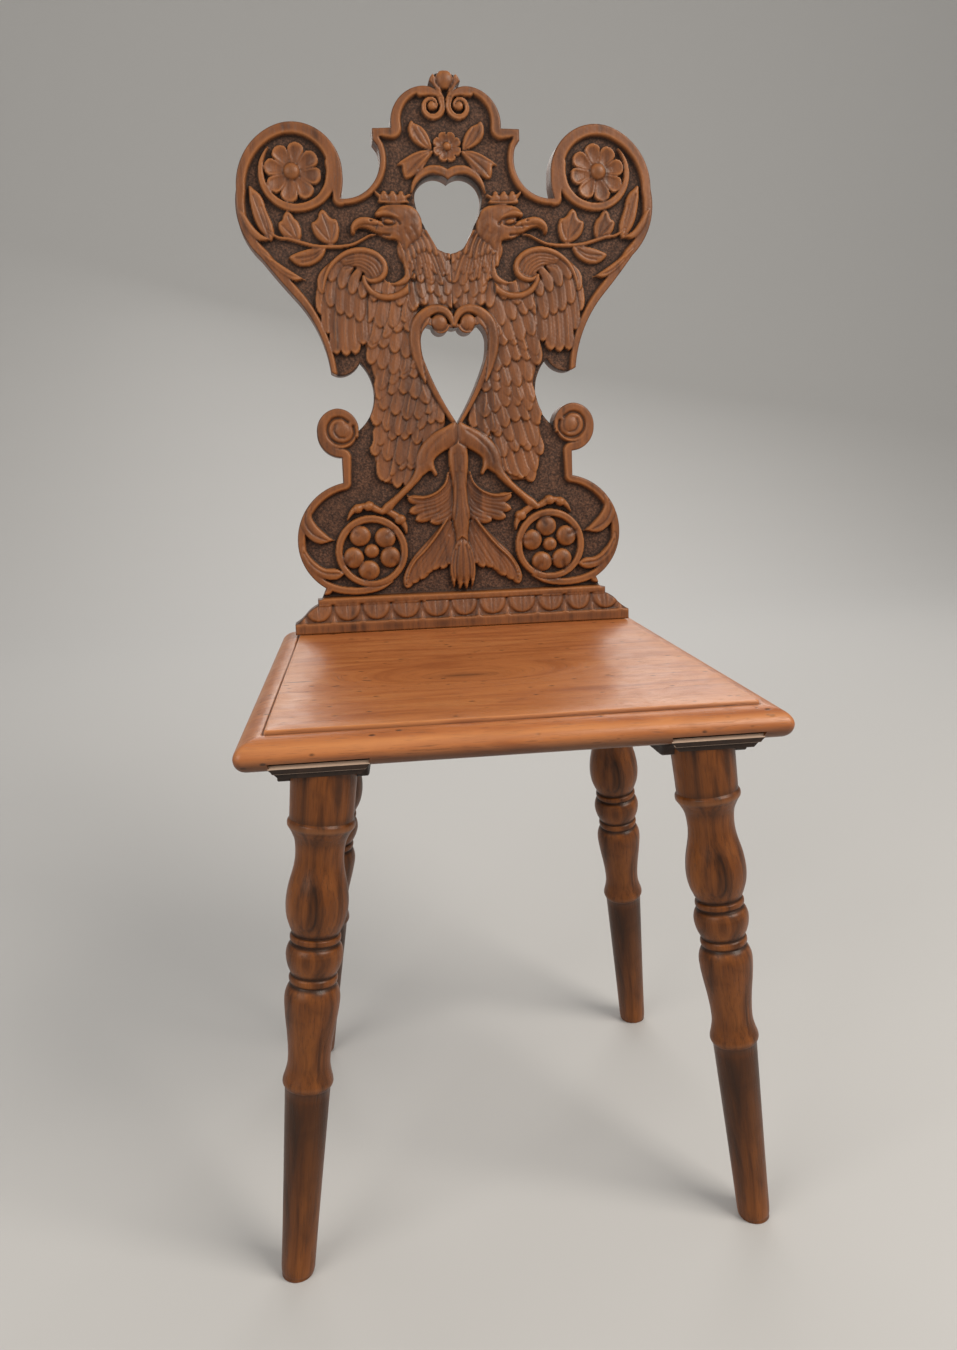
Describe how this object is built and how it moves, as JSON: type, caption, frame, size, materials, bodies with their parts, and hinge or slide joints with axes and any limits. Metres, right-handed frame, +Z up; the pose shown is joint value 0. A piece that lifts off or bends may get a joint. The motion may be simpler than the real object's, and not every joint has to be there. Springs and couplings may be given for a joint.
{
  "type": "carved board chair",
  "caption": "Wooden chair with a pierced plank back carved with crowned eagles, rosettes and acanthus, a trapezoid board seat and splayed turned legs.",
  "frame": {"origin": "middle of the footprint box on the floor", "axes": "+X to the right of someone who looks at the chair's front, +Y from the front to the back, +Z up"},
  "size_m": [0.4318, 0.4476, 0.9925],
  "materials": {
    "seat_board": "worn waxed walnut",
    "backrest": "carved walnut, dark in the hollows",
    "battens": "dark stained",
    "legs": "turned walnut, semi-gloss",
    "wedges": "plain"
  },
  "bodies": {
    "root": {"seat_board": "seat_board", "backrest": "backrest", "left_batten": "battens", "right_batten": "battens", "leg_front_left": "legs", "leg_front_right": "legs", "leg_rear_left": "legs", "leg_rear_right": "legs", "wedge_front_left": "wedges", "wedge_front_right": "wedges", "wedge_rear_left": "wedges", "wedge_rear_right": "wedges", "key_left": "wedges", "key_right": "wedges"}
  },
  "joints": []
}
